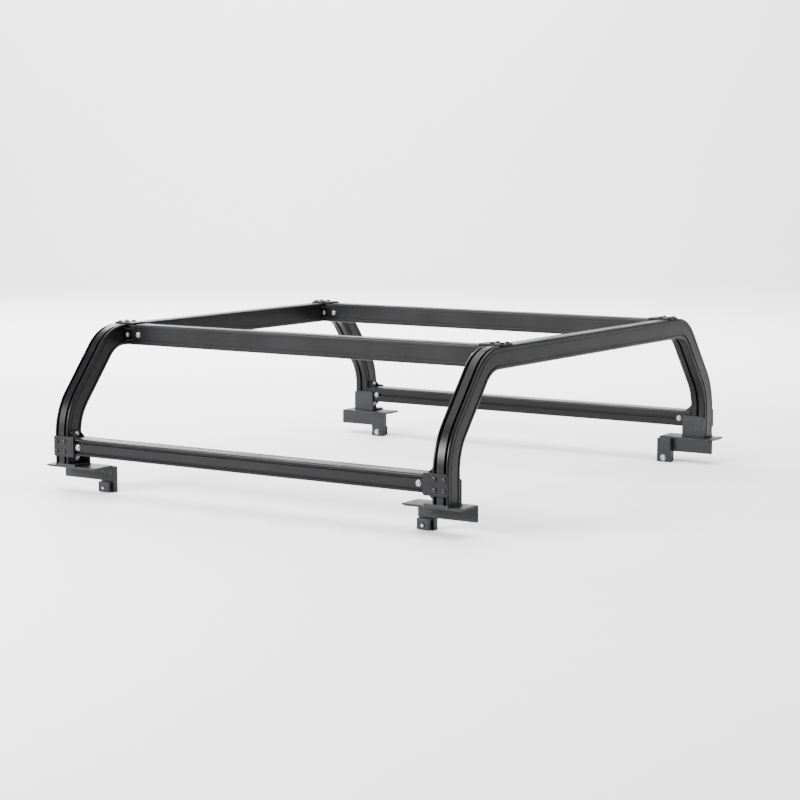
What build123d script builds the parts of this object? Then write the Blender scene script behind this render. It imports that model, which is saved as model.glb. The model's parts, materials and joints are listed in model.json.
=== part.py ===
"""Bed-mounted ladder rack: two bent arches, four side rails and four bed clamps.

Millimetres.  +X is the truck's right-hand side, +Y is forward, +Z is up.  The origin is on the
centre line of the rack, level with the lowest point of the bed clamps.

Every arch and rail is the same two-slot extrusion.  Each of the eight corners where a rail meets
an arch is built once in its own joint frame, and each of the four bed mounts once at the
front-right leg; both are then mirrored to their other places.
"""
from build123d import *
import os
from math import cos, radians, sin

# ---- overall layout -------------------------------------------------------------------------
arch_spacing = 1303.0             # along the truck, between the arches' centre planes
leg_half_spacing = 780.0          # middle of the rack to a leg's centre line
upper_rail_half_spacing = 511.0   # middle of the rack to an upper rail's centre line
crossbar_height = 373.0           # bed rail top to the crossbar's centre line
lower_rail_height = 65.0          # bed rail top to a lower rail's centre line
lower_bend_height = 96.0          # bed rail top to the start of the lower bend
lower_bend_radius = 170.0         # to the centre line
upper_bend_radius = 110.0         # to the centre line
leg_lean = 39.3                   # degrees from upright, between the two bends

# ---- the extrusion --------------------------------------------------------------------------
section_depth = 62.0              # outer face to inner face
section_breadth = 50.0
section_corner = 5.0
section_wall = 3.0                # wall of the inner face
section_side_wall = 5.0
section_web = 3.0                 # behind and beside the slot pockets
slot_opening = 8.0
slot_lip = 3.0
slot_pocket_width = 14.0
slot_pocket_depth = 6.0
slot_pitch = 29.0                 # between the two slots of the outer face
side_groove_inset = 13.0          # decorative groove, from the inner face
side_groove_width = 6.0
side_groove_depth = 2.5
side_line_inset = 14.0            # finer line, from the outer face
side_line_width = 3.0
side_line_depth = 1.2

# ---- fasteners ------------------------------------------------------------------------------
bolt_radius = 4.0                 # M8 shank
bolt_fit = 0.05                   # radial clearance of a shank in its hole
button_head_radius = 7.0
button_head_height = 4.4
button_head_round = 3.5
head_socket_radius = 2.9
head_socket_depth = 2.4
washer_radius = 8.5
washer_thickness = 1.6
screw_head_radius = 7.6           # countersunk screws
screw_head_height = 3.6
nut_length = 16.0                 # T-nut, along the slot
nut_thickness = 5.0
nut_side_gap = 0.5                # T-nut to each side of the pocket
nut_neck_height = 2.5
nut_neck_gap = 0.3                # T-nut's neck to each side of the slot

# ---- rail end fittings and joining plates ---------------------------------------------------
fitting_length = 26.0             # arch face to the end of the rail
flange_thickness = 6.0
flange_height = 44.0
flange_half_width = 44.0
flange_bolt_offset = 34.0         # rail centre line to a flange bolt
flange_corner = 6.0
flange_bolt_grip = 9.0            # shank beyond the flange, through the arch's wall
rib_thickness = 5.0
rib_inset = 3.0                   # flange edge to a rib, and to the end of its slope
rib_end_gap = 2.0                 # rib's top to the rail's end
tongue_length = 40.0              # inside the rail
tongue_gap = 0.5                  # tongue to the rail's cavity, each side
cross_bolt_inset = 40.0           # arch face to the cross bolt
plate_thickness = 5.0
plate_height = 60.0
plate_corner = 6.0
plate_edge = 0.8

# ---- feet and bed brackets ------------------------------------------------------------------
pad_thickness = 2.5
pad_margin = 4.0                  # bracket edge to pad edge
bracket_thickness = 4.5
bracket_overhang = 63.0           # arch's centre plane to the bracket's outer end
bracket_outer_inset = 4.0         # leg's outer face to the bracket's edge
bracket_drop = 40.0               # bed rail top to the lower edge of the hanging flange
bracket_bend_radius = 3.5
wall_to_leg = 26.0                # leg's inner face to the inner face of the hanging flange
foot_thickness = 6.0
foot_plate_height = 68.0
foot_corner = 6.0
foot_screw_heights = (30.0, 58.0)       # above the bed rail top
foot_base_screw_offsets = (-38.0, 10.0)  # along the truck, from the arch's centre plane

# ---- bed clamps -----------------------------------------------------------------------------
block_width = 48.0
block_thickness = 19.0
block_start = 73.0                # arch's centre plane to the near side of the block
block_drop = 74.0                 # bed rail top to the block's lower end
block_rise = 2.0
block_edge = 2.0
block_screw_spacing = 26.0
block_screw_drop = 18.0           # bed rail top to the screws
block_screw_depth = 12.0
clamp_bolt_radius = 5.0           # M10
clamp_bolt_drop = 60.0            # bed rail top to the clamp bolt
clamp_bolt_end = 4.0              # thread showing past the open jaw
clamp_bolt_point = 1.0            # chamfer of its end
clamp_head_radius = 8.0
clamp_head_height = 7.0
clamp_head_round = 1.2
clamp_flange_radius = 10.0
clamp_flange_thickness = 2.0
clamp_socket_radius = 4.2
clamp_socket_depth = 4.0
jaw_opening = 10.0                # block to the open jaw
jaw_thickness = 8.0
jaw_width = 40.0
jaw_bottom_gap = 2.0              # block's lower end to the jaw's lower end
jaw_top_gap = 2.0                 # hanging flange to the jaw's upper edge
jaw_edge = 1.5
moving_gap = 0.3                  # between flat faces of bodies that move

cut_margin = 1.0                  # how far a cutting tool passes a face

# ---- derived places -------------------------------------------------------------------------
bed_z = block_drop                            # bed rail top, above the origin
arch_y = arch_spacing / 2
half_depth = section_depth / 2
half_breadth = section_breadth / 2
leg_outer_x = leg_half_spacing + half_depth
leg_inner_x = leg_half_spacing - half_depth
foot_bottom_z = bed_z + pad_thickness + bracket_thickness
leg_bottom_z = foot_bottom_z + foot_thickness
wall_x = leg_inner_x - wall_to_leg            # inner face of the hanging flange
cavity_half = half_depth - slot_lip - slot_pocket_depth - section_web
cavity_half_breadth = half_breadth - section_side_wall
rail_half_length = arch_y - half_breadth - fitting_length
plate_width = section_breadth + fitting_length
plate_centre = fitting_length / 2             # arch's centre plane to the plate's middle
block_middle_y = arch_y - block_start - block_width / 2
clamp_bolt_z = bed_z - clamp_bolt_drop
jaw_x = wall_x + jaw_opening                  # jaw's gripping face when open


# ---- small helpers --------------------------------------------------------------------------
def box(low, high):
    """A block between two opposite corners."""
    size = [b - a for a, b in zip(low, high)]
    return Pos(*low) * Box(*size, align=(Align.MIN, Align.MIN, Align.MIN))


def rod(start, direction, radius, length):
    """A round bar from a point along a direction."""
    return Plane(origin=start, z_dir=direction) * Cylinder(
        radius, length, align=(Align.CENTER, Align.CENTER, Align.MIN)
    )


def button_head(start, direction):
    """A domed head with a hexagon socket, its flat side at the point."""
    dome = Cylinder(button_head_radius, button_head_height, align=(Align.CENTER, Align.CENTER, Align.MIN))
    dome = fillet(dome.edges().group_by(Axis.Z)[-1], button_head_round)
    socket = Pos(0, 0, button_head_height - head_socket_depth) * extrude(
        RegularPolygon(head_socket_radius, 6), head_socket_depth + cut_margin
    )
    return Plane(origin=start, z_dir=direction) * (dome - socket)


def washer(start, direction):
    """A plain washer's disc, fused to the shank that it sits on."""
    return rod(start, direction, washer_radius, washer_thickness)


def countersunk_screw(start, direction, length):
    """A flat-headed screw whose head is flush at the point; the direction is into the work."""
    head = Cone(
        screw_head_radius, bolt_radius, screw_head_height, align=(Align.CENTER, Align.CENTER, Align.MIN)
    )
    shank = Cylinder(bolt_radius, length, align=(Align.CENTER, Align.CENTER, Align.MIN))
    socket = Pos(0, 0, -cut_margin) * extrude(
        RegularPolygon(head_socket_radius, 6), head_socket_depth + cut_margin
    )
    return Plane(origin=start, z_dir=direction) * (head + shank - socket)


def countersunk_hole(start, direction, length):
    """The hole that a countersunk screw fills."""
    mouth = Cone(
        screw_head_radius + bolt_fit,
        bolt_radius + bolt_fit,
        screw_head_height,
        align=(Align.CENTER, Align.CENTER, Align.MIN),
    )
    bore = Cylinder(bolt_radius + bolt_fit, length, align=(Align.CENTER, Align.CENTER, Align.MIN))
    return Plane(origin=start, z_dir=direction) * (mouth + bore)


def t_nut(seat, into, along):
    """A T-nut against the underside of a slot's lip.

    The seat is the middle of the slot's mouth on the face, into points into the extrusion and
    along runs with the slot.
    """
    body_width = slot_pocket_width - 2 * nut_side_gap
    neck_width = slot_opening - 2 * nut_neck_gap
    body = Pos(0, 0, slot_lip + nut_thickness / 2) * Box(nut_length, body_width, nut_thickness)
    neck = Pos(0, 0, slot_lip - nut_neck_height / 2) * Box(nut_length, neck_width, nut_neck_height)
    thread = Cylinder(bolt_radius + bolt_fit, 2 * (slot_lip + nut_thickness + cut_margin))
    return Plane(origin=seat, x_dir=along, z_dir=into) * (body + neck - thread)


# ---- the extrusion --------------------------------------------------------------------------
def t_slot():
    """Slot outline with its mouth at local X = 0, opening towards +X."""
    neck = Pos(-slot_lip / 2, 0) * Rectangle(slot_lip + 2 * cut_margin, slot_opening)
    pocket = Pos(-slot_lip - slot_pocket_depth / 2, 0) * Rectangle(slot_pocket_depth, slot_pocket_width)
    return neck + pocket


def section():
    """Cross-section with the two-slot outer face towards +X and the one-slot inner face to -X."""
    shape = RectangleRounded(section_depth, section_breadth, section_corner)
    for across in (-slot_pitch / 2, slot_pitch / 2):
        shape -= Pos(half_depth, across) * t_slot()
    shape -= Pos(-half_depth, 0) * Rot(0, 0, 180) * t_slot()

    inner_edge = section_wall - half_depth
    cavity_length = cavity_half - inner_edge
    cavity = Pos(inner_edge + cavity_length / 2, 0) * Rectangle(cavity_length, 2 * cavity_half_breadth)
    boss_length = -cavity_half - inner_edge
    boss_width = slot_pocket_width + 2 * section_web
    cavity -= Pos(inner_edge + boss_length / 2, 0) * Rectangle(boss_length, boss_width)
    shape -= cavity

    groove = Rectangle(side_groove_width, 2 * side_groove_depth)
    line = Rectangle(side_line_width, 2 * side_line_depth)
    for side in (-half_breadth, half_breadth):
        shape -= Pos(side_groove_inset - half_depth, side) * groove
        shape -= Pos(half_depth - side_line_inset, side) * line
    return shape


# ---- arches ---------------------------------------------------------------------------------
def half_arch():
    """The right half of an arch in the plane Y = 0, walked from the foot to the middle."""
    lean = radians(leg_lean)
    leaning_length = (
        crossbar_height - lower_bend_height
        - lower_bend_radius * sin(lean) - upper_bend_radius * (1 - sin(lean))
    ) / cos(lean)
    crossbar_half = (
        leg_half_spacing - lower_bend_radius * (1 - cos(lean))
        - leaning_length * sin(lean) - upper_bend_radius * cos(lean)
    )
    walk = (
        ("straight", bed_z + lower_bend_height - leg_bottom_z, 0.0),
        ("bend", lower_bend_radius, leg_lean),
        ("straight", leaning_length, 0.0),
        ("bend", upper_bend_radius, 90.0 - leg_lean),
        ("straight", crossbar_half, 0.0),
    )
    outline = section()
    x, z, heading = leg_half_spacing, leg_bottom_z, 0.0
    pieces = []
    for kind, size, turn in walk:
        angle = radians(heading)
        outward = (cos(angle), 0, sin(angle))
        onward = (-sin(angle), 0, cos(angle))
        start = Plane(origin=(x, 0, z), x_dir=outward, z_dir=onward) * outline
        if kind == "straight":
            pieces.append(extrude(start, size, dir=onward))
            x += size * onward[0]
            z += size * onward[2]
        else:
            centre = (x - size * outward[0], 0, z - size * outward[2])
            pieces.append(revolve(start, Axis(centre, (0, -1, 0)), revolution_arc=turn))
            heading += turn
            angle = radians(heading)
            x = centre[0] + size * cos(angle)
            z = centre[2] + size * sin(angle)
    half = pieces[0]
    for piece in pieces[1:]:
        half += piece
    return half


def front_arch(half):
    """The whole front arch, drilled for the flange bolts of its four rail fittings."""
    arch = half + mirror(half, about=Plane.YZ)
    arch = Pos(0, arch_y, 0) * arch
    face_y = arch_y - half_breadth
    depth = section_side_wall + 2 * cut_margin
    for side in (-1, 1):
        for offset in (-flange_bolt_offset, flange_bolt_offset):
            upper = (side * upper_rail_half_spacing + offset, face_y - cut_margin, bed_z + crossbar_height)
            lower = (side * leg_half_spacing, face_y - cut_margin, bed_z + lower_rail_height + offset)
            for start in (upper, lower):
                arch -= rod(start, (0, 1, 0), bolt_radius + bolt_fit, depth)
    return arch


# ---- rails ----------------------------------------------------------------------------------
def upper_rail():
    """Right upper rail, two-slot face up."""
    x, z = upper_rail_half_spacing, bed_z + crossbar_height
    end = Plane(origin=(x, -rail_half_length, z), x_dir=(0, 0, 1), z_dir=(0, 1, 0))
    rail = extrude(end * section(), 2 * rail_half_length, dir=(0, 1, 0))
    return drill_rail(rail, x - half_breadth, section_breadth, z)


def lower_rail():
    """Right lower rail, two-slot face outboard."""
    x, z = leg_half_spacing, bed_z + lower_rail_height
    end = Plane(origin=(x, -rail_half_length, z), x_dir=(1, 0, 0), z_dir=(0, 1, 0))
    rail = extrude(end * section(), 2 * rail_half_length, dir=(0, 1, 0))
    return drill_rail(rail, leg_inner_x, section_depth, z)


def drill_rail(rail, near_x, width, z):
    """Cross bolt holes at both ends of a rail."""
    hole_y = arch_y - half_breadth - cross_bolt_inset
    for y in (-hole_y, hole_y):
        start = (near_x - cut_margin, y, z)
        rail -= rod(start, (1, 0, 0), bolt_radius + bolt_fit, width + 2 * cut_margin)
    return rail


# ---- one corner, in its joint frame ---------------------------------------------------------
# Local X points to the arch's outer face, local Z towards the middle of the rack along the rail,
# and the origin is on the arch's centre plane.
def joint_frames():
    """The frames of the upper and the lower joint at the front-right corner."""
    upper = Plane(
        origin=(upper_rail_half_spacing, arch_y, bed_z + crossbar_height),
        x_dir=(0, 0, 1),
        z_dir=(0, -1, 0),
    )
    lower = Plane(
        origin=(leg_half_spacing, arch_y, bed_z + lower_rail_height),
        x_dir=(1, 0, 0),
        z_dir=(0, -1, 0),
    )
    return {"upper": upper, "lower": lower}


def rail_fitting(level):
    """Flanged end fitting: bolts to the arch's face and plugs into the rail."""
    face = half_breadth
    body = Pos(0, 0, face) * extrude(
        RectangleRounded(section_depth, section_breadth, section_corner), fitting_length
    )
    flange = Pos(0, 0, face) * extrude(
        RectangleRounded(flange_height, 2 * flange_half_width, flange_corner), flange_thickness
    )
    fitting = body + flange
    rib_x = (flange_height - rib_thickness) / 2 - rib_inset
    lug = flange_half_width - half_breadth - rib_inset
    rib_height = fitting_length - flange_thickness - rib_end_gap
    rib_profile = Polygon((0, 0), (lug, 0), (0, rib_height), align=None)
    for side in (-1, 1):
        for x in (-rib_x, rib_x):
            corner = Plane(
                origin=(x - side * rib_thickness / 2, side * half_breadth, face + flange_thickness),
                x_dir=(0, side, 0),
                z_dir=(side, 0, 0),
            )
            fitting += corner * extrude(rib_profile, rib_thickness)
    tongue_start = face + fitting_length
    fitting += Pos(0, 0, tongue_start) * extrude(
        Rectangle(2 * (cavity_half - tongue_gap), 2 * (cavity_half_breadth - tongue_gap)), tongue_length
    )
    for side in (-1, 1):
        start = (0, side * flange_bolt_offset, face - cut_margin)
        fitting -= rod(start, (0, 0, 1), bolt_radius + bolt_fit, flange_thickness + 2 * cut_margin)
    along_x, span = cross_bolt_span(level)
    direction = (1, 0, 0) if along_x else (0, 1, 0)
    start = tuple(-span / 2 * d for d in direction[:2]) + (face + cross_bolt_inset,)
    return fitting - rod(start, direction, bolt_radius + bolt_fit, span)


def cross_bolt_span(level):
    """Whether the cross bolt runs along local X, and the width of rail that it crosses."""
    if level == "lower":
        return True, section_depth
    return False, section_breadth


def cross_bolt(level):
    """Barrel bolt across the rail and the fitting's tongue, with a washered head at each end."""
    along_x, span = cross_bolt_span(level)
    z = half_breadth + cross_bolt_inset
    bolt = None
    for side in (-1, 1):
        direction = (side, 0, 0) if along_x else (0, side, 0)
        seat = tuple(span / 2 * d for d in direction[:2]) + (z,)
        top = tuple((span / 2 + washer_thickness) * d for d in direction[:2]) + (z,)
        half = rod((0, 0, z), direction, bolt_radius, span / 2 + washer_thickness)
        half += washer(seat, direction)
        half += button_head(top, direction)
        bolt = half if bolt is None else bolt + half
    return bolt


def flange_bolt(side):
    """One of the two bolts that hold a fitting's flange to the arch."""
    seat_z = half_breadth + flange_thickness
    y = side * flange_bolt_offset
    shank = rod((0, y, seat_z), (0, 0, -1), bolt_radius, flange_thickness + flange_bolt_grip)
    bolt = shank + rod((0, y, seat_z), (0, 0, 1), bolt_radius, washer_thickness)
    bolt += washer((0, y, seat_z), (0, 0, 1))
    return bolt + button_head((0, y, seat_z + washer_thickness), (0, 0, 1))


def plate_bolt_places():
    """Local Y and Z of the four bolts of a joining plate, two to each slot."""
    reach = slot_pitch / 2
    return [(y, z) for y in (-reach, reach) for z in (-reach, reach)]


def joining_plate():
    """Four-hole plate that lies across the arch's outer face and the fitting."""
    outline = RectangleRounded(plate_width, plate_height, plate_corner)
    plate = Plane(origin=(half_depth, 0, plate_centre), x_dir=(0, 0, 1), z_dir=(1, 0, 0)) * extrude(
        outline, plate_thickness
    )
    for y, z in plate_bolt_places():
        start = (half_depth - cut_margin, y, z)
        plate -= rod(start, (1, 0, 0), bolt_radius + bolt_fit, plate_thickness + 2 * cut_margin)
    return chamfer(plate.faces().sort_by(Axis.X)[-1].outer_wire().edges(), plate_edge)


def plate_bolt(y, z):
    """A button-headed bolt through the plate into its T-nut."""
    seat_x = half_depth + plate_thickness
    length = plate_thickness + slot_lip + nut_thickness
    shank = rod((seat_x, y, z), (-1, 0, 0), bolt_radius, length)
    return shank + button_head((seat_x, y, z), (1, 0, 0))


def plate_nut(y, z):
    """The T-nut of one plate bolt, in the arch's outer slot."""
    return t_nut((half_depth, y, z), (-1, 0, 0), (0, 1, 0))


# ---- feet and bed brackets, at the front-right leg ------------------------------------------
def foot():
    """Angle under and inboard of the leg, as long as the joining plate."""
    near_y = arch_y - half_breadth - fitting_length
    far_y = arch_y + half_breadth
    base = box(
        (leg_inner_x - foot_thickness, near_y, foot_bottom_z),
        (leg_outer_x, far_y, foot_bottom_z + foot_thickness),
    )
    upright = box(
        (leg_inner_x - foot_thickness, near_y, foot_bottom_z),
        (leg_inner_x, far_y, foot_bottom_z + foot_plate_height),
    )
    top_corners = upright.edges().filter_by(Axis.X).group_by(Axis.Z)[-1]
    piece = base + fillet(top_corners, foot_corner)
    for height in foot_screw_heights:
        start = (leg_inner_x - foot_thickness, arch_y, bed_z + height)
        piece -= countersunk_hole(start, (1, 0, 0), foot_thickness + cut_margin)
    for x, y in foot_base_screw_places():
        start = (x, y, foot_bottom_z - bracket_thickness)
        piece -= countersunk_hole(start, (0, 0, 1), bracket_thickness + foot_thickness + cut_margin)
    return piece


def foot_base_screw_places():
    """Where the bracket is screwed to the foot."""
    return [(leg_half_spacing, arch_y + offset) for offset in foot_base_screw_offsets]


def foot_screws():
    """Screws from the foot into the leg, and from the bracket up into the foot."""
    screws = []
    for height in foot_screw_heights:
        start = (leg_inner_x - foot_thickness, arch_y, bed_z + height)
        screws.append(countersunk_screw(start, (1, 0, 0), foot_thickness + slot_lip + nut_thickness))
    for x, y in foot_base_screw_places():
        start = (x, y, foot_bottom_z - bracket_thickness)
        screws.append(countersunk_screw(start, (0, 0, 1), bracket_thickness + foot_thickness))
    return screws


def foot_nuts():
    """T-nuts of the foot's side screws, in the leg's inner slot."""
    return [t_nut((leg_inner_x, arch_y, bed_z + height), (1, 0, 0), (0, 0, 1)) for height in foot_screw_heights]


def bed_bracket():
    """Long angle that lies on the bed rail and hangs down its inner side."""
    near_y = arch_y - block_start - block_width
    far_y = arch_y + bracket_overhang
    bottom_z = foot_bottom_z - bracket_thickness
    top = box((wall_x, near_y, bottom_z), (leg_outer_x - bracket_outer_inset, far_y, foot_bottom_z))
    hanging = box(
        (wall_x, near_y, bed_z - bracket_drop),
        (wall_x + bracket_thickness, far_y, foot_bottom_z),
    )
    piece = top + hanging
    outer_bend = piece.edges().filter_by(Axis.Y).group_by(Axis.X)[0].sort_by(Axis.Z)[-1]
    piece = fillet(outer_bend, bracket_bend_radius)
    for x, y in foot_base_screw_places():
        piece -= countersunk_hole((x, y, bottom_z), (0, 0, 1), bracket_thickness + cut_margin)
    for start in block_screw_places():
        piece -= countersunk_hole(start, (-1, 0, 0), bracket_thickness + cut_margin)
    return piece


def bed_pad():
    """Rubber strip between the bracket and the bed rail."""
    near_y = arch_y - block_start - block_width + pad_margin
    far_y = arch_y + bracket_overhang - pad_margin
    return box(
        (wall_x + bracket_thickness + pad_margin, near_y, bed_z),
        (leg_outer_x - bracket_outer_inset - pad_margin, far_y, bed_z + pad_thickness),
    )


# ---- bed clamps, at the front-right leg -----------------------------------------------------
def block_screw_places():
    """Head ends of the screws that hold the clamp block to the hanging flange."""
    x = wall_x + bracket_thickness
    z = bed_z - block_screw_drop
    reach = block_screw_spacing / 2
    return [(x, block_middle_y + offset, z) for offset in (-reach, reach)]


def clamp_block():
    """Upright block on the inner side of the hanging flange, bored for the clamp bolt."""
    half = block_width / 2
    piece = box(
        (wall_x - block_thickness, block_middle_y - half, bed_z - block_drop),
        (wall_x, block_middle_y + half, bed_z + block_rise),
    )
    inboard_face = piece.faces().sort_by(Axis.X)[0]
    piece = fillet(inboard_face.edges(), block_edge)
    start = (wall_x - block_thickness - cut_margin, block_middle_y, clamp_bolt_z)
    piece -= rod(start, (1, 0, 0), clamp_bolt_radius + bolt_fit, block_thickness + 2 * cut_margin)
    for start in block_screw_places():
        piece -= countersunk_hole(start, (-1, 0, 0), bracket_thickness + block_screw_depth + bolt_fit)
    return piece


def block_screws():
    """Screws from the hanging flange into the clamp block."""
    length = bracket_thickness + block_screw_depth
    return [countersunk_screw(start, (-1, 0, 0), length) for start in block_screw_places()]


def clamp_bolt():
    """Flanged socket bolt that draws the jaw to the block."""
    head_x = wall_x - block_thickness - moving_gap
    tip_x = jaw_x + jaw_thickness + clamp_bolt_end
    start = (head_x, block_middle_y, clamp_bolt_z)
    shank = rod(start, (1, 0, 0), clamp_bolt_radius, tip_x - head_x)
    shank = chamfer(shank.edges().group_by(Axis.X)[-1], clamp_bolt_point)
    rim = rod(start, (-1, 0, 0), clamp_flange_radius, clamp_flange_thickness)
    head = rod(start, (-1, 0, 0), clamp_head_radius, clamp_head_height)
    head = fillet(head.edges().group_by(Axis.X)[0], clamp_head_round)
    socket_start = (head_x - clamp_head_height + clamp_socket_depth, block_middle_y, clamp_bolt_z)
    socket = Plane(origin=socket_start, z_dir=(-1, 0, 0)) * extrude(
        RegularPolygon(clamp_socket_radius, 6), clamp_socket_depth + cut_margin
    )
    return shank + rim + head - socket


def clamp_jaw():
    """Plate threaded on the clamp bolt; it can't turn because it runs under the hanging flange."""
    half = jaw_width / 2
    low_z = bed_z - block_drop + jaw_bottom_gap
    high_z = bed_z - bracket_drop - jaw_top_gap
    piece = box(
        (jaw_x, block_middle_y - half, low_z),
        (jaw_x + jaw_thickness, block_middle_y + half, high_z),
    )
    piece = chamfer(piece.faces().sort_by(Axis.X)[-1].edges(), jaw_edge)
    start = (jaw_x - cut_margin, block_middle_y, clamp_bolt_z)
    return piece - rod(start, (1, 0, 0), clamp_bolt_radius + bolt_fit, jaw_thickness + 2 * cut_margin)


# ---- assembly -------------------------------------------------------------------------------
ends = {"front": 1, "rear": -1}
sides = {"left": -1, "right": 1}


def to_corner(piece, side, end):
    """A front-right piece, mirrored to another corner."""
    if side == "left":
        piece = mirror(piece, about=Plane.YZ)
    if end == "rear":
        piece = mirror(piece, about=Plane.XZ)
    return piece


def write(name, piece):
    """One STEP file for one node; a list is a group of separate solids."""
    if isinstance(piece, list):
        piece = Compound([solid for part in piece for solid in part.solids()])
    export_step(piece, f"parts/{name}.step")


def write_arches_and_rails():
    arch = front_arch(half_arch())
    write("front_arch", arch)
    write("rear_arch", mirror(arch, about=Plane.XZ))
    for level, rail in (("upper", upper_rail()), ("lower", lower_rail())):
        for side in sides:
            write(f"{side}_{level}_rail", to_corner(rail, side, "front"))


def write_joints():
    """Fittings and plates one by one, their fasteners grouped by arch."""
    frames = joint_frames()
    fittings = {level: frame * rail_fitting(level) for level, frame in frames.items()}
    plates = {level: frame * joining_plate() for level, frame in frames.items()}
    for end in ends:
        groups = {"plate_bolts": [], "plate_nuts": [], "flange_bolts": [], "cross_bolts": []}
        for side in sides:
            for level, frame in frames.items():
                write(f"{end}_{side}_{level}_fitting", to_corner(fittings[level], side, end))
                write(f"{end}_{side}_{level}_plate", to_corner(plates[level], side, end))
                for y, z in plate_bolt_places():
                    groups["plate_bolts"].append(to_corner(frame * plate_bolt(y, z), side, end))
                    groups["plate_nuts"].append(to_corner(frame * plate_nut(y, z), side, end))
                for which in (-1, 1):
                    groups["flange_bolts"].append(to_corner(frame * flange_bolt(which), side, end))
                groups["cross_bolts"].append(to_corner(frame * cross_bolt(level), side, end))
        for group, pieces in groups.items():
            write(f"{end}_{group}", pieces)


def write_bed_mounts():
    singles = {
        "foot": foot(),
        "bed_bracket": bed_bracket(),
        "bed_pad": bed_pad(),
        "clamp_block": clamp_block(),
        "clamp_bolt": clamp_bolt(),
        "clamp_jaw": clamp_jaw(),
    }
    for end in ends:
        screws = []
        for side in sides:
            for name, piece in singles.items():
                write(f"{end}_{side}_{name}", to_corner(piece, side, end))
            for piece in foot_screws() + foot_nuts() + block_screws():
                screws.append(to_corner(piece, side, end))
        write(f"{end}_mount_screws", screws)


def main():
    os.makedirs("parts", exist_ok=True)
    write_arches_and_rails()
    write_joints()
    write_bed_mounts()


main()
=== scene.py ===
"""Looks of the bed-mounted ladder rack: finishes, rounded edges, studio and camera.

Metres, in the rack's own frame: +X is the truck's right-hand side, +Y is forward, +Z is up.
"""

import json
import math

import bpy
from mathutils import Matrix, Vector


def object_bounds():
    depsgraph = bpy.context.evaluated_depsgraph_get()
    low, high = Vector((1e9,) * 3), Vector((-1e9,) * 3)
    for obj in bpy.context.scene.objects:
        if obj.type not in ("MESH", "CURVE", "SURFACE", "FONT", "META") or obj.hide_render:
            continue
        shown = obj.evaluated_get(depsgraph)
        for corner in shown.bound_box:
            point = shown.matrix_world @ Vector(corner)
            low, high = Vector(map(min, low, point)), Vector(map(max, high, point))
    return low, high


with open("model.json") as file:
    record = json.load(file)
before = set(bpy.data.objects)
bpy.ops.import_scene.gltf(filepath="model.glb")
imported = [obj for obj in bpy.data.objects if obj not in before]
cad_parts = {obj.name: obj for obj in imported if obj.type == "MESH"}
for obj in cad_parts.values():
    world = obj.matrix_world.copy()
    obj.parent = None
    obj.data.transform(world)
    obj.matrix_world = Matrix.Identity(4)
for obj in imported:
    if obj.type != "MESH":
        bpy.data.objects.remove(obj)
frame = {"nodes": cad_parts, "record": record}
cad_low, cad_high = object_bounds()
nodes = frame["nodes"]
record = frame["record"]
centre = (cad_low + cad_high) / 2

# ---- camera and studio sizes ----------------------------------------------------------------
CAMERA_AZIMUTH = -56.9            # degrees; 0 looks along +Y
CAMERA_ELEVATION = 6.9
CAMERA_DISTANCE = 6.28            # from the middle of the rack
CAMERA_LENS = 92.0                # millimetres
CAMERA_SENSOR = 36.0
AIM_HEIGHT = 0.235
FLOOR_SIZE = 60.0
BACKDROP_DISTANCE = 9.0
BACKDROP_HEIGHT = 8.0
BACKDROP_RADIUS = 3.0
BACKDROP_STEPS = 16

# ---- colours --------------------------------------------------------------------------------
BLACK_COAT = (0.0026, 0.0026, 0.0030, 1.0)
BLACK_COAT_LIGHT = (0.0060, 0.0061, 0.0070, 1.0)
BLACK_CAST = (0.0024, 0.0024, 0.0027, 1.0)
BLACK_CAST_LIGHT = (0.0056, 0.0056, 0.0062, 1.0)
PLATE_COAT = (0.0042, 0.0042, 0.0047, 1.0)
PLATE_COAT_LIGHT = (0.0100, 0.0100, 0.0110, 1.0)
GREY_COAT = (0.0065, 0.0070, 0.0080, 1.0)
GREY_COAT_LIGHT = (0.0130, 0.0140, 0.0160, 1.0)
DARK_STEEL = (0.018, 0.018, 0.019, 1.0)
DARK_STEEL_LIGHT = (0.045, 0.045, 0.047, 1.0)
RUBBER = (0.012, 0.012, 0.012, 1.0)
RUBBER_LIGHT = (0.035, 0.034, 0.032, 1.0)
STEEL = (0.22, 0.22, 0.23, 1.0)
STEEL_LIGHT = (0.38, 0.38, 0.39, 1.0)
ZINC = (0.42, 0.43, 0.42, 1.0)
ZINC_LIGHT = (0.62, 0.62, 0.58, 1.0)
SETTLED_DUST = (0.060, 0.058, 0.055, 1.0)
FLOOR_TONE = (0.90, 0.90, 0.90, 1.0)

# ---- coat texture ---------------------------------------------------------------------------
DUST_AMOUNT = 0.3                 # most of the dust colour that shows on an upward face
PEEL_SCALE = 0.28                 # orange peel against the fine grain
PEEL_DEPTH = 1.6
PEEL_STRENGTH = 0.55
GRAIN_STRENGTH = 0.75

# ---- edges, in metres; the extrusions' edges stay as they are in the CAD ---------------------
WELD_DISTANCE = 0.00001
EDGE_SEGMENTS = 2
EDGE_ANGLE = 40.0                 # degrees between faces, above which an edge is rounded
EDGE_WIDTHS = {
    "casting": 0.0010,
    "plate": 0.0004,
    "bracket": 0.0006,
    "clamp": 0.0005,
    "rubber": 0.0005,
    "stainless": 0.00025,
    "zinc": 0.0003,
}

# ---- lights: name, place, size, power in watts, and the point faced (None: the rack) ---------
WORLD_STRENGTH = 0.45
LIGHTS = (
    ("overhead", (0.0, 0.0, 5.0), (6.0, 6.0), 760.0, None),
    ("key", (-5.0, 2.3, 2.1), (2.6, 1.0), 900.0, None),
    ("rim", (3.5, 5.5, 3.5), (3.0, 2.0), 260.0, None),
    ("fill", (-0.5, -6.0, 3.2), (3.0, 1.2), 90.0, None),
    ("wash", (2.2, 3.0, 6.0), (8.0, 3.0), 2600.0, (8.5, 6.5, 1.5)),
)


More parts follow.
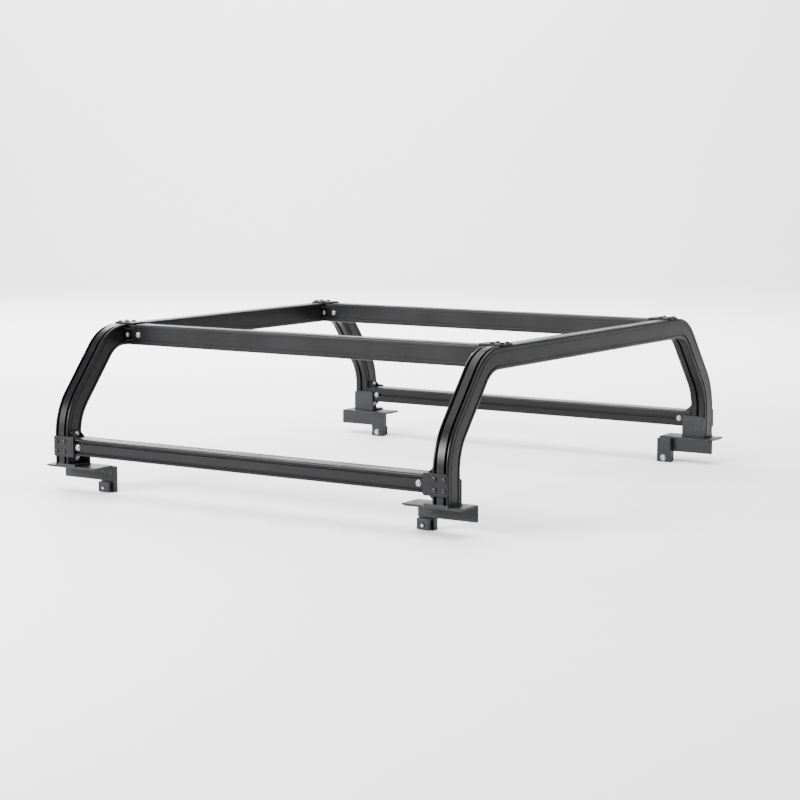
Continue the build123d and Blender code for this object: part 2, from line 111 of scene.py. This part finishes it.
# ---- node helpers ---------------------------------------------------------------------------
class Graph:
    """A small builder for one material's nodes."""

    def __init__(self, name):
        self.material = bpy.data.materials.new(name)
        self.material.use_nodes = True
        self.tree = self.material.node_tree
        self.tree.nodes.clear()
        self.shader = self.add("ShaderNodeBsdfPrincipled")
        output = self.add("ShaderNodeOutputMaterial")
        self.link(self.shader.outputs["BSDF"], output.inputs["Surface"])
        self.place = self.add("ShaderNodeTexCoord").outputs["Object"]

    def add(self, kind, **settings):
        node = self.tree.nodes.new(kind)
        for key, value in settings.items():
            setattr(node, key, value)
        return node

    def link(self, output, socket):
        self.tree.links.new(output, socket)

    def noise(self, scale, detail=4.0, roughness=0.55):
        """Noise of the given scale per metre."""
        node = self.add("ShaderNodeTexNoise")
        node.inputs["Scale"].default_value = scale
        node.inputs["Detail"].default_value = detail
        node.inputs["Roughness"].default_value = roughness
        self.link(self.place, node.inputs["Vector"])
        return node.outputs["Fac"]

    def cells(self, scale):
        """Distance to the nearest of scattered points, at the given scale per metre."""
        node = self.add("ShaderNodeTexVoronoi")
        node.inputs["Scale"].default_value = scale
        self.link(self.place, node.inputs["Vector"])
        return node.outputs["Distance"]

    def spread(self, value, low, high, to_low=0.0, to_high=1.0):
        """Maps a value from one span to another, clamped."""
        node = self.add("ShaderNodeMapRange")
        for key, number in (("From Min", low), ("From Max", high), ("To Min", to_low), ("To Max", to_high)):
            node.inputs[key].default_value = number
        self.link(value, node.inputs["Value"])
        return node.outputs["Result"]

    def math(self, operation, first, second):
        """A sum or product of sockets and numbers."""
        node = self.add("ShaderNodeMath", operation=operation)
        for socket, value in zip(node.inputs, (first, second)):
            if isinstance(value, float):
                socket.default_value = value
            else:
                self.link(value, socket)
        return node.outputs["Value"]

    def mix(self, amount, first, second):
        """A colour between two, by an amount."""
        node = self.add("ShaderNodeMix", data_type="RGBA")
        self.link(amount, node.inputs["Factor"])
        for name, value in (("A", first), ("B", second)):
            socket = [s for s in node.inputs if s.name == name and s.type == "RGBA"][0]
            if isinstance(value, tuple):
                socket.default_value = value
            else:
                self.link(value, socket)
        return [s for s in node.outputs if s.type == "RGBA"][0]

    def bump(self, height, distance, strength, below=None):
        """A normal from a height, laid over another normal if one is given."""
        node = self.add("ShaderNodeBump")
        node.inputs["Strength"].default_value = strength
        node.inputs["Distance"].default_value = distance
        self.link(height, node.inputs["Height"])
        if below is not None:
            self.link(below, node.inputs["Normal"])
        return node.outputs["Normal"]

    def set(self, socket, value):
        """Sets one of the shader's sockets to a value, or links it."""
        if isinstance(value, (int, float, tuple)):
            self.shader.inputs[socket].default_value = value
        else:
            self.link(value, self.shader.inputs[socket])


# ---- finishes -------------------------------------------------------------------------------
def coated(name, dark, light, roughness, grain_scale, grain_depth, shine=0.14):
    """Powder coat: orange peel, fine grain, cloudy wear in its gloss and a little settled dust."""
    g = Graph(name)
    cloud = g.noise(7.0, detail=5.0, roughness=0.6)
    speckle = g.noise(900.0, detail=2.0)
    scuff = g.noise(38.0, detail=6.0, roughness=0.7)
    tone = g.math("MULTIPLY", g.spread(cloud, 0.35, 0.7), g.spread(speckle, 0.3, 0.75, 0.35, 1.0))
    colour = g.mix(tone, dark, light)
    up = g.add("ShaderNodeSeparateXYZ")
    g.link(g.add("ShaderNodeNewGeometry").outputs["Normal"], up.inputs["Vector"])
    settled = g.math("MULTIPLY", g.spread(up.outputs["Z"], 0.6, 1.0), g.spread(scuff, 0.42, 0.72))
    settled = g.math("MULTIPLY", settled, DUST_AMOUNT)
    dusty = g.mix(settled, colour, SETTLED_DUST)
    g.set("Base Color", dusty)
    gloss = g.math("ADD", g.spread(cloud, 0.3, 0.75, roughness - 0.05, roughness + 0.06),
                   g.spread(scuff, 0.45, 0.7, 0.0, 0.06))
    g.set("Roughness", gloss)
    peel_height = g.noise(grain_scale * PEEL_SCALE, detail=2.0)
    peel = g.bump(peel_height, grain_depth * PEEL_DEPTH, PEEL_STRENGTH)
    grain_height = g.noise(grain_scale, detail=3.0)
    g.set("Normal", g.bump(grain_height, grain_depth, GRAIN_STRENGTH, below=peel))
    g.set("Specular IOR Level", shine)
    return g.material


def metal(name, dark, light, roughness):
    """Bare fastener metal with tool marks and small pits."""
    g = Graph(name)
    cloud = g.noise(160.0, detail=4.0)
    scratch = g.noise(420.0, detail=6.0, roughness=0.75)
    g.set("Base Color", g.mix(g.spread(cloud, 0.3, 0.7), dark, light))
    g.set("Metallic", 1.0)
    g.set("Roughness", g.spread(scratch, 0.35, 0.7, roughness - 0.08, roughness + 0.14))
    g.set("Normal", g.bump(scratch, 0.00006, 0.5))
    return g.material


def rubber(name):
    """Matt rubber with a fine moulded grain and chalky bloom."""
    g = Graph(name)
    cloud = g.noise(30.0, detail=6.0)
    g.set("Base Color", g.mix(g.spread(cloud, 0.4, 0.75), RUBBER, RUBBER_LIGHT))
    g.set("Roughness", g.spread(cloud, 0.3, 0.8, 0.68, 0.88))
    g.set("Normal", g.bump(g.cells(1400.0), 0.0002, 0.6))
    return g.material


def floor_finish():
    """Plain matt floor."""
    g = Graph("studio_floor")
    g.set("Base Color", FLOOR_TONE)
    g.set("Roughness", 0.6)
    return g.material


FINISHES = {
    "extrusion": coated("extrusion_coat", BLACK_COAT, BLACK_COAT_LIGHT, 0.33, 700.0, 0.00009),
    "casting": coated("casting_coat", BLACK_CAST, BLACK_CAST_LIGHT, 0.42, 420.0, 0.00022),
    "plate": coated("plate_coat", PLATE_COAT, PLATE_COAT_LIGHT, 0.46, 620.0, 0.00020),
    "bracket": coated("bracket_coat", GREY_COAT, GREY_COAT_LIGHT, 0.44, 600.0, 0.00014, shine=0.22),
    "clamp": coated("clamp_coat", GREY_COAT, GREY_COAT_LIGHT, 0.40, 560.0, 0.00014, shine=0.22),
    "rubber": rubber("pad_rubber"),
    "stainless": metal("stainless_steel", STEEL, STEEL_LIGHT, 0.30),
    "zinc": metal("zinc_plate", ZINC, ZINC_LIGHT, 0.38),
    "dark_steel": metal("blackened_steel", DARK_STEEL, DARK_STEEL_LIGHT, 0.36),
}
DARK_FASTENERS = ("plate_bolts", "mount_screws")


def finish_nodes():
    """Gives each CAD node the finish of its slot in the record, and rounds its edges."""
    for part in record["subparts"]:
        piece = nodes[part["node"]]
        dark = part["node"].endswith(DARK_FASTENERS)
        piece.data.materials.clear()
        piece.data.materials.append(FINISHES["dark_steel" if dark else part["material_slot"]])
        if part["material_slot"] in EDGE_WIDTHS:
            round_edges(piece, EDGE_WIDTHS[part["material_slot"]])


def round_edges(piece, width):
    """Joins the imported faces at their edges, and bevels the sharp ones."""
    weld = piece.modifiers.new("weld", "WELD")
    weld.merge_threshold = WELD_DISTANCE
    bevel = piece.modifiers.new("edges", "BEVEL")
    bevel.width = width
    bevel.segments = EDGE_SEGMENTS
    bevel.limit_method = "ANGLE"
    bevel.angle_limit = math.radians(EDGE_ANGLE)
    bevel.harden_normals = True
    bevel.use_clamp_overlap = True


# ---- studio ---------------------------------------------------------------------------------
def make_floor():
    """Pale floor that curves up into a backdrop behind the rack, facing the camera."""
    back = math.radians(CAMERA_AZIMUTH)
    away = Vector((-math.sin(back), math.cos(back), 0.0))
    across = Vector((away.y, -away.x, 0.0))
    profile = [(-FLOOR_SIZE / 2, 0.0)]
    for i in range(BACKDROP_STEPS + 1):
        angle = math.radians(90.0) * i / BACKDROP_STEPS
        profile.append((
            BACKDROP_DISTANCE + BACKDROP_RADIUS * math.sin(angle),
            BACKDROP_RADIUS * (1 - math.cos(angle)),
        ))
    profile.append((BACKDROP_DISTANCE + BACKDROP_RADIUS, BACKDROP_HEIGHT))
    points = []
    for reach, height in profile:
        for side in (-FLOOR_SIZE / 2, FLOOR_SIZE / 2):
            points.append(away * reach + across * side + Vector((0.0, 0.0, height)))
    faces = [(2 * i, 2 * i + 1, 2 * i + 3, 2 * i + 2) for i in range(len(profile) - 1)]
    mesh = bpy.data.meshes.new("studio_floor")
    mesh.from_pydata(points, [], faces)
    for polygon in mesh.polygons:
        polygon.use_smooth = True
    floor = bpy.data.objects.new("studio_floor", mesh)
    bpy.context.scene.collection.objects.link(floor)
    mesh.materials.append(floor_finish())


def make_light(name, place, size, power, target):
    """A softbox that faces a point, or else the rack."""
    data = bpy.data.lights.new(name, "AREA")
    data.shape = "RECTANGLE"
    data.size, data.size_y = size
    data.energy = power
    light = bpy.data.objects.new(name, data)
    light.location = place
    light.rotation_mode = "QUATERNION"
    aim = Vector(target) if target else centre
    light.rotation_quaternion = (aim - Vector(place)).to_track_quat("-Z", "Y")
    bpy.context.scene.collection.objects.link(light)


def make_studio():
    """White surroundings and the softboxes."""
    world = bpy.data.worlds.new("studio")
    world.use_nodes = True
    background = world.node_tree.nodes["Background"]
    background.inputs["Color"].default_value = (1.0, 1.0, 1.0, 1.0)
    background.inputs["Strength"].default_value = WORLD_STRENGTH
    bpy.context.scene.world = world
    for light in LIGHTS:
        make_light(*light)


def make_camera():
    """The camera, turned about the middle of the rack."""
    a, e = math.radians(CAMERA_AZIMUTH), math.radians(CAMERA_ELEVATION)
    back = Vector((math.sin(a) * math.cos(e), -math.cos(a) * math.cos(e), math.sin(e)))
    aim = Vector((centre.x, centre.y, AIM_HEIGHT))
    data = bpy.data.cameras.new("camera")
    data.lens = CAMERA_LENS
    data.sensor_width = CAMERA_SENSOR
    camera = bpy.data.objects.new("camera", data)
    camera.location = aim + back * CAMERA_DISTANCE
    camera.rotation_mode = "QUATERNION"
    camera.rotation_quaternion = (-back).to_track_quat("-Z", "Y")
    bpy.context.scene.collection.objects.link(camera)
    bpy.context.scene.camera = camera


finish_nodes()
make_floor()
make_studio()
make_camera()
